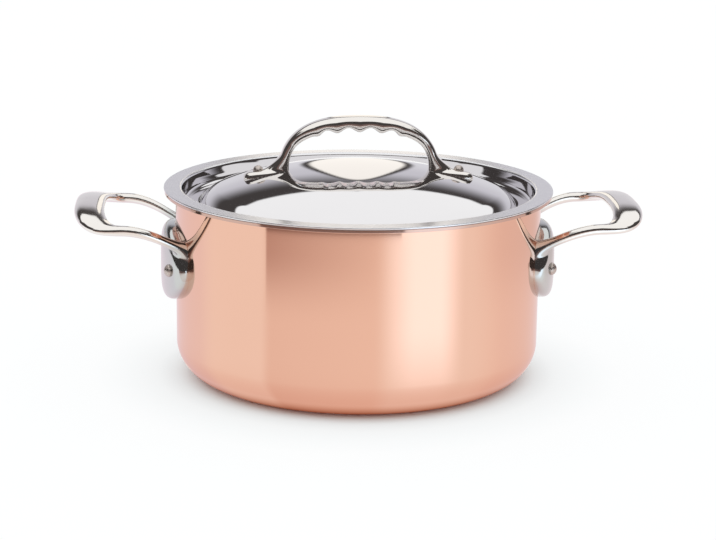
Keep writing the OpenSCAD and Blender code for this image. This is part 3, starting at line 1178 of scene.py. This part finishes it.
@dataclass
class Rivets:
    """The four rivets of the side handles and the two of the lid's handle."""

    side_size: Rivet = field(
        default_factory=lambda: Rivet(shank_d=5.0, head_d=6.9, head_h=3.5, tail_d=12.0, tail_h=1.5)
    )
    lid_size: Rivet = field(
        default_factory=lambda: Rivet(shank_d=4.0, head_d=5.6, head_h=3.3, tail_d=9.0, tail_h=1.3)
    )
    side_pitch: float = 58.5
    side_drop: float = 40.0
    side_seat_depth: float = 1.2
    lid_inset: float = 9.0
    lid_seat_t: float = 2.7
    handle: SideHandle = field(default_factory=SideHandle)
    lid_handle: LidHandle = field(default_factory=LidHandle)

    def side_rivet(self, side: Side, depth: Depth) -> Surface:
        """One rivet of a side handle, along a radius of the pot.

        Args:
            side: The handle that it holds.
            depth: Its nearer or farther rivet.

        Returns:
            The rivet in its place.
        """
        pot = self.handle.pot
        tail_seat = np.sqrt(pot.wall_in_r**2 - (self.side_size.tail_d / 2.0) ** 2)
        head_seat = pot.wall_r + self.handle.flange.thick - self.side_seat_depth
        around = side.value * depth.value * self.side_pitch / 2.0 / pot.wall_r
        if side is Side.LEFT:
            around += np.pi
        turn = turn_z(around) @ turn_y(np.pi / 2.0)
        foot = turn @ [0.0, 0.0, tail_seat] + [0.0, 0.0, pot.height - self.side_drop]
        return self.side_size.surface(head_seat - tail_seat).turned(turn, foot)

    def lid_rivet(self, side: Side) -> Surface:
        """One rivet of the lid's handle, along a radius of the dome.

        Args:
            side: The foot that it holds.

        Returns:
            The rivet in its place.
        """
        lid = self.lid_handle.lid
        inner_r = lid.dome_r - lid.sheet_t
        tail_seat = np.sqrt(inner_r**2 - (self.lid_size.tail_d / 2.0) ** 2)
        head_seat = lid.dome_r + self.lid_seat_t
        x = self.lid_handle.handle_l / 2.0 - self.lid_inset
        turn = turn_y(side.value * np.arcsin(x / lid.dome_r))
        foot = turn @ [0.0, 0.0, tail_seat] + [0.0, 0.0, lid.dome_z]
        return self.lid_size.surface(head_seat - tail_seat).turned(turn, foot)

    def build(self) -> None:
        """Makes the six rivets."""
        finish = SATIN_RIVET.material()
        for side in Side:
            end = side.name.lower()
            for depth in Depth:
                name = f"{end}_{depth.name.lower()}_rivet"
                surface = self.side_rivet(side, depth)
                add_piece(surface, f"{name}_head", finish, "pot", name)
            name = f"lid_{end}_rivet"
            add_piece(self.lid_rivet(side), f"{name}_head", finish, "lid", name)


BELOW = (-99.0,)
"""A lower edge that is under everything."""
BEYOND = (9000.0,)
"""An upper edge that is over everything."""
SCREEN_LOW = (*(20.5,) * 5, 28.0, *(20.5,) * 5)
"""Lower edge of the dark screen behind the pot, which rises in the middle."""
SKY_LOW = (32.0, 31.0, 31.0, 29.0, 28.0, 37.0, 33.0, 36.5, 39.0, 40.0, 40.0)
"""Lower edge of the white above that screen."""
WHITE: Color = (1.02, 1.02, 1.02)
CREAM: Color = (1.07, 1.02, 0.955)
DARK: Color = (0.06, 0.053, 0.052)


class Form(Enum):
    """Outline of a patch of the studio."""

    BOX = "a box between two azimuths and two heights"
    OVAL = "an ellipse that just fits that box"


@dataclass(frozen=True)
class Panel:
    """A soft-edged patch of the studio that only reflections see.

    Azimuths run in degrees from the viewer's side towards the right-hand handle. Heights are
    degrees above the horizon in the room. On the table a patch is a painted reflection, and its
    heights are the height on the wall of the pot, in millimetres, at which the viewer sees it
    reflected. Several heights are spread evenly from one azimuth to the other. A patch without
    an end colour has one colour.
    """

    azimuth: tuple[float, float]
    low: tuple[float, ...]
    high: tuple[float, ...]
    start: Color
    end: Color | None = None
    side_edges: tuple[float, float] = (1.0, 1.0)
    level_edges: tuple[float, float] = (1.0, 1.0)
    form: Form = Form.BOX

    def weight(self, turned: Array, half: float, place: Array) -> Array:
        """How much of the patch lies over each point.

        Args:
            turned: Azimuth of each point from the middle of the patch.
            half: Half the width of the patch.
            place: Height of each point.

        Returns:
            A share from 0 to 1 for each point.
        """
        if self.form is Form.OVAL:
            middle, rise = (self.low[0] + self.high[0]) / 2.0, (self.high[0] - self.low[0]) / 2.0
            gauge = np.hypot(turned / half, (place - middle) / rise)
            return smooth((1.0 - gauge) * half / self.side_edges[0] + 0.5)
        low, high = (
            np.interp(turned, np.linspace(-half, half, len(level)), level)
            if len(level) > 1 else level[0]
            for level in (self.low, self.high)
        )
        return (
            smooth((half + turned) / self.side_edges[0] + 0.5)
            * smooth((half - turned) / self.side_edges[1] + 0.5)
            * smooth((place - low) / self.level_edges[0] + 0.5)
            * smooth((high - place) / self.level_edges[1] + 0.5)
        )

    def over(self, base: Array, azimuth: Array, place: Array) -> Array:
        """Lays the patch over the colours that are there.

        Args:
            base: The colours below it, one row each.
            azimuth: Azimuth of each point.
            place: Height of each point.

        Returns:
            The colours with the patch on top, its colour changing evenly from side to side.
        """
        middle, half = sum(self.azimuth) / 2.0, (self.azimuth[1] - self.azimuth[0]) / 2.0
        turned = (azimuth - middle + 180.0) % 360.0 - 180.0
        across = np.clip((turned / half + 1.0) / 2.0, 0.0, 1.0)[:, None]
        color = (1.0 - across) * np.array(self.start) + across * np.array(self.end or self.start)
        return base + (color - base) * self.weight(turned, half, place)[:, None]


@dataclass
class Studio:
    """The camera, the plain white world, and the table and the room that the metal reflects."""

    pot: Pot = field(default_factory=Pot)
    azimuth: float = -4.2
    elevation: float = 13.98
    roll: float = 0.73
    distance: float = 1150.0
    aim_x: float = 0.325
    aim_z: float = 57.889
    lens: float = 102.32
    sensor: float = 36.0
    clip_share: float = 4.0
    near_rings: tuple[float, float, int] = (78.0, 138.0, 41)
    middle_rings: tuple[float, float, int] = (141.0, 700.0, 180)
    far_rings: tuple[float, float, int] = (720.0, 6000.0, 40)
    table_columns: int = 1080
    table_drop: float = 0.3
    # Darker and cooler than white, with the light raised to match, so that shaded cloth comes out darker
    # and cooler.
    table_cloth: Color = (0.72, 0.79, 0.81)
    # Painted shade: the share of the table that shows its shadow is set by distance from the axis, full
    # at the pot's foot and small farther out.
    painted_shade_reach: tuple[float, ...] = (90.0, 102.0, 113.0, 150.0)
    painted_shade_share: tuple[float, ...] = (1.0, 0.6, 0.36, 0.12)
    # Painted shadow in the reflections: the table that the metal sees is darker and warmer where it
    # shows low on the pot's wall.
    contact_shadow_reach: float = 30.0
    contact_shadow_depth: float = 0.22
    contact_shadow_power: float = 2.5
    contact_shadow_tint: Color = (0.43, 1.0, 1.15)
    # Painted shadow in the reflections: the table that the metal sees fades to dark under the pot's
    # base.
    under_pot_shadow_reach: tuple[float, float] = (79.0, 101.0)
    under_pot_shadow_tint: Color = (0.95, 1.75, 2.2)
    solve_steps: int = 8
    room_r: float = 5500.0
    room_span: tuple[float, float] = (-1.0, 89.9)
    room_rows: int = 271
    room_columns: int = 1440
    room_gray: Color = (0.61, 0.60, 0.65)
    light: float = 1.4
    # Painted reflections: patches that the table glows with for metal alone, laid where the viewer sees
    # them on the pot's wall.
    painted_table_reflections: tuple[Panel, ...] = (
        Panel((-62.0, 12.0), BELOW, BEYOND, (0.92, 0.84, 0.81), (0.97, 0.90, 0.87), (9.0, 16.0)),
        Panel(
            (-62.0, 10.0), (71.0,), BEYOND, (0.59, 0.455, 0.425), (0.90, 0.81, 0.77),
            side_edges=(1.5, 18.0), level_edges=(52.0, 1.0),
        ),
        Panel((84.0, 168.0), BELOW, BEYOND, (0.97, 0.90, 0.88), (0.87, 0.77, 0.80), (36.0, 16.0)),
        Panel(
            (84.0, 150.0), (68.0,), BEYOND, (0.90, 0.81, 0.79), (0.79, 0.68, 0.68),
            side_edges=(36.0, 20.0), level_edges=(50.0, 1.0),
        ),
        Panel((-175.0, -112.0), BELOW, BEYOND, (0.86, 0.75, 0.81), (0.95, 0.92, 0.97), (10.0, 20.0)),
        Panel(
            (20.0, 57.0), (20.0,), BEYOND, (1.38, 1.52, 1.68),
            side_edges=(27.0, 20.0), level_edges=(54.0, 1.0),
        ),
        Panel(
            (-62.0, 22.5), (110.0,), BEYOND, (0.18, 0.11, 0.10), (0.18, 0.12, 0.11),
            side_edges=(2.0, 1.0), level_edges=(1.2, 1.0),
        ),
    )
    room_panels: tuple[Panel, ...] = (
        Panel((120.0, 235.0), BELOW, (60.0,), (0.66, 0.645, 0.70), (0.60, 0.585, 0.63), (40.0, 40.0)),
        Panel(
            (150.0, 200.0), BELOW, (12.0,), (0.73, 0.72, 0.76),
            side_edges=(24.0, 24.0), level_edges=(1.0, 12.0),
        ),
        Panel(
            (96.0, 256.0), SCREEN_LOW, BEYOND, DARK, side_edges=(20.0, 20.0), level_edges=(13.0, 1.0)
        ),
        Panel((-400.0, 400.0), (38.0,), BEYOND, WHITE, level_edges=(1.5, 1.0)),
        Panel((96.0, 256.0), SKY_LOW, (60.0,), WHITE, level_edges=(1.2, 1.0)),
        Panel(
            (-60.0, 60.0), (33.0,), (60.0,), WHITE, side_edges=(12.0, 12.0), level_edges=(2.0, 1.0)
        ),
        Panel((-60.0, 60.0), BELOW, (33.0,), DARK, side_edges=(12.0, 12.0), level_edges=(3.0, 2.0)),
        Panel((55.0, 124.0), BELOW, (50.0,), DARK, side_edges=(8.0, 8.0), level_edges=(3.0, 2.0)),
        Panel((236.0, 305.0), BELOW, (50.0,), DARK, side_edges=(8.0, 8.0), level_edges=(3.0, 2.0)),
        Panel((171.3, 180.6), (-1.4,), (29.4,), DARK, side_edges=(0.5, 0.5), form=Form.OVAL),
        Panel((171.95, 179.95), (-0.6,), (28.6,), CREAM, side_edges=(0.4, 0.4), form=Form.OVAL),
    )

    def camera(self) -> None:
        """Places the camera at the photograph's viewing angle."""
        az, el, roll = np.radians([self.azimuth, self.elevation, self.roll])
        back = np.array([np.sin(az) * np.cos(el), -np.cos(az) * np.cos(el), np.sin(el)])
        level_right = np.array([np.cos(az), np.sin(az), 0.0])
        level_up = np.cross(back, level_right)
        right = np.cos(roll) * level_right + np.sin(roll) * level_up
        up = np.cos(roll) * level_up - np.sin(roll) * level_right
        place = np.array([0.0, 0.0, self.aim_z]) + back * self.distance + level_right * self.aim_x
        data = bpy.data.cameras.new("viewer")
        data.lens, data.sensor_width, data.sensor_fit = self.lens, self.sensor, "HORIZONTAL"
        data.clip_end = self.clip_share * self.far_rings[1] * METRES
        camera = bpy.data.objects.new("viewer", data)
        bpy.context.scene.collection.objects.link(camera)
        matrix = np.eye(4)
        matrix[:3, :3] = np.stack([right, up, back], axis=1)
        matrix[:3, 3] = place * METRES
        camera.matrix_world = Matrix(matrix.tolist())
        bpy.context.scene.camera = camera

    def stage_piece(self, surface: Surface, name: str, tones: Array) -> bpy.types.Object:
        """Makes a part of the studio whose colour is kept at each point.

        Args:
            surface: Its surface, in millimetres.
            name: Its name.
            tones: One colour for each point, and a fourth number for the share of shaded cloth.

        Returns:
            The new object.
        """
        mesh = surface.mesh(name)
        layer = mesh.attributes.new("tone", "FLOAT_COLOR", "POINT")
        layer.data.foreach_set("color", tones.ravel())
        piece = bpy.data.objects.new(name, mesh)
        bpy.context.scene.collection.objects.link(piece)
        return piece

    def stage_material(self, name: str) -> tuple[bpy.types.Material, Node, Node]:
        """Makes a material with an emission node that has the colour of each point.

        Nothing is joined to the material's output yet.

        Args:
            name: Its name.

        Returns:
            The material, the node that reads each point, and the emission node.
        """
        material = bpy.data.materials.new(name)
        material.use_nodes = True
        material.cycles.emission_sampling = "NONE"
        graph = Graph(material.node_tree)
        graph.tree.nodes.remove(graph.tree.nodes["Principled BSDF"])
        tone = graph.add("Attribute", attribute_name="tone")
        return material, tone, graph.add("Emission", {"Color": tone.outputs["Color"]})

    def seen_on_wall(self, points: Array) -> tuple[Array, Array]:
        """Where the viewer sees points of the table reflected in the upright wall of the pot.

        A wall point at azimuth t sends the viewer's line on at azimuth a = 2t - v, where v is
        the viewer's azimuth. That line passes over a table point at azimuth p and distance r if
        a = p + asin(R sin((a - v) / 2) / r), which repeated steps solve.

        Args:
            points: Points of the table.

        Returns:
            The azimuth a and the height on the wall, for each point.
        """
        wall_r, view = self.pot.wall_r, np.radians(self.azimuth)
        place, here = np.hypot(points[:, 0], points[:, 1]), np.arctan2(points[:, 0], -points[:, 1])
        azimuth = here
        for _ in range(self.solve_steps):
            turn = wall_r * np.sin((azimuth - view) / 2.0) / place
            azimuth = here + np.arcsin(np.clip(turn, -1.0, 1.0))
        on_wall = (azimuth + view) / 2.0
        foot = wall_r * np.stack([np.sin(on_wall), -np.cos(on_wall)], axis=1)
        away = np.linalg.norm(points[:, :2] - foot, axis=1)
        return np.degrees(azimuth), away * np.tan(np.radians(self.elevation))

    def table_tones(self, points: Array) -> Array:
        """Painted reflections that the metal sees on the table, and the share of shaded cloth.

        Args:
            points: Points of the table.

        Returns:
            Four numbers for each point. The last one is the painted share of shaded cloth, full at the
            pot's foot and small farther out; that cloth shows the pot's shadow, and the rest of the
            table is pure white to look at.
        """
        azimuth, height = self.seen_on_wall(points)
        tones = np.ones((len(points), 3))
        # Painted reflections, placed by the viewer's azimuth and height.
        for panel in self.painted_table_reflections:
            tones = panel.over(tones, azimuth, height)
        place = np.hypot(points[:, 0], points[:, 1])
        # Painted shadow: darker and warmer where the table shows low on the wall.
        close = np.maximum(0.0, 1.0 - height / self.contact_shadow_reach) ** self.contact_shadow_power
        # Painted shadow: the table under the base goes dark in the reflections.
        under = smooth((place - self.under_pot_shadow_reach[0]) / (self.under_pot_shadow_reach[1] - self.under_pot_shadow_reach[0]))
        tones *= (1.0 - self.contact_shadow_depth * close)[:, None] ** np.array(self.contact_shadow_tint)
        tones *= under[:, None] ** np.array(self.under_pot_shadow_tint)
        # Painted shade: how much of the real shadow shows, by distance from the axis.
        share = np.interp(place, self.painted_shade_reach, self.painted_shade_share)
        return np.concatenate([tones, share[:, None]], axis=1)

    def table(self) -> None:
        """Makes the white table. Rays from metal see the painted reflections that it glows with, and
        other rays its shadows.
        """
        radius = np.concatenate([
            np.linspace(*self.near_rings), np.linspace(*self.middle_rings), np.geomspace(*self.far_rings)
        ])[:, None]
        rows, columns = len(radius), self.table_columns
        angle = np.linspace(0.0, 2.0 * np.pi, columns, endpoint=False)
        level = np.full((rows, columns), -self.table_drop)
        rings = np.stack([radius * np.cos(angle), radius * np.sin(angle), level], axis=-1).reshape(-1, 3)
        centre = np.array([[0.0, 0.0, -self.table_drop]])
        first = np.arange(columns)
        disc = np.stack([np.full(columns, len(rings)), first, (first + 1) % columns], axis=1)
        surface = Surface(np.concatenate([rings, centre]), grid_quads(rows, columns)[:, ::-1], disc)
        tones = self.table_tones(rings)
        piece = self.stage_piece(surface, "table", np.concatenate([tones, tones[:1]]))

        material, tone, glow = self.stage_material("white_table")
        graph = Graph(material.node_tree)
        cloth = graph.add("BsdfDiffuse", {"Color": (*self.table_cloth, 1.0)}).outputs[0]
        white = graph.add("Emission").outputs[0]
        # Painted shade: each point's share decides how much of the cloth's real shadow shows.
        lit = graph.add("MixShader", {"Fac": tone.outputs["Alpha"], 1: white, 2: cloth}).outputs[0]
        ray = graph.add("LightPath").outputs["Is Glossy Ray"]
        seen = graph.add("MixShader", {"Fac": ray, 1: lit, 2: glow.outputs[0]}).outputs[0]
        graph.feed(graph.tree.nodes["Material Output"], {"Surface": seen})
        piece.data.materials.append(material)

    def room(self) -> None:
        """Makes the half sphere of soft boxes and screens, which only rays from metal see."""
        height = np.linspace(*self.room_span, self.room_rows)
        angle = np.linspace(0.0, 2.0 * np.pi, self.room_columns, endpoint=False)
        up, around = np.meshgrid(np.radians(height), angle, indexing="ij")
        points = self.room_r * np.stack(
            [np.cos(up) * np.cos(around), np.cos(up) * np.sin(around), np.sin(up)], axis=-1
        ).reshape(-1, 3)
        azimuth = np.degrees(np.arctan2(points[:, 0], -points[:, 1]))
        tones = np.tile(np.array(self.room_gray), (len(points), 1))
        for panel in self.room_panels:
            tones = panel.over(tones, azimuth, np.repeat(height, self.room_columns))
        tones = np.pad(tones, ((0, 0), (0, 1)), constant_values=1.0)
        surface = Surface(points, grid_quads(self.room_rows, self.room_columns))
        piece = self.stage_piece(surface, "room", tones)
        piece.visible_camera = piece.visible_diffuse = piece.visible_shadow = False
        piece.visible_transmission = piece.visible_volume_scatter = False
        material, _, glow = self.stage_material("room_screens")
        graph = Graph(material.node_tree)
        graph.feed(graph.tree.nodes["Material Output"], {"Surface": glow.outputs[0]})
        piece.data.materials.append(material)

    def world(self) -> None:
        """Sets a plain white world, at strength 1 to look at and at the light's own strength."""
        world = bpy.data.worlds.new("white_world")
        bpy.context.scene.world = world
        world.use_nodes = True
        graph = Graph(world.node_tree)
        ray = graph.add("LightPath").outputs
        straight = {0: ray["Is Camera Ray"], 1: ray["Is Transmission Ray"]}
        seen = {0: graph.add("Math", straight, operation="MAXIMUM").outputs[0], 1: ray["Is Glossy Ray"]}
        looked_at = graph.add("Math", seen, operation="MAXIMUM").outputs[0]
        strength = graph.add("MapRange", {"Value": looked_at, "To Min": self.light})
        graph.feed(graph.tree.nodes["Background"], {
            "Color": (1.0, 1.0, 1.0, 1.0),
            "Strength": strength.outputs["Result"],
        })

    def build(self) -> None:
        """Makes the camera, the table, the room and the world."""
        self.camera()
        self.table()
        self.room()
        self.world()


def corners(bounds: tuple[Sequence[float], Sequence[float]]) -> list[list[float]]:
    """Two corners as plain lists of numbers."""
    return [[float(value) for value in corner] for corner in bounds]


def main() -> None:
    """Builds the studio and every piece."""
    logging.basicConfig(level=logging.INFO, format="%(name)s: %(message)s")
    bpy.context.scene.view_settings.view_transform = "Standard"
    Studio().build()
    Pot().build()
    Lid().build()
    SideHandle().build()
    LidHandle().build()
    Rivets().build()
    bpy.context.view_layer.update()


if __name__ == "__main__":
    main()
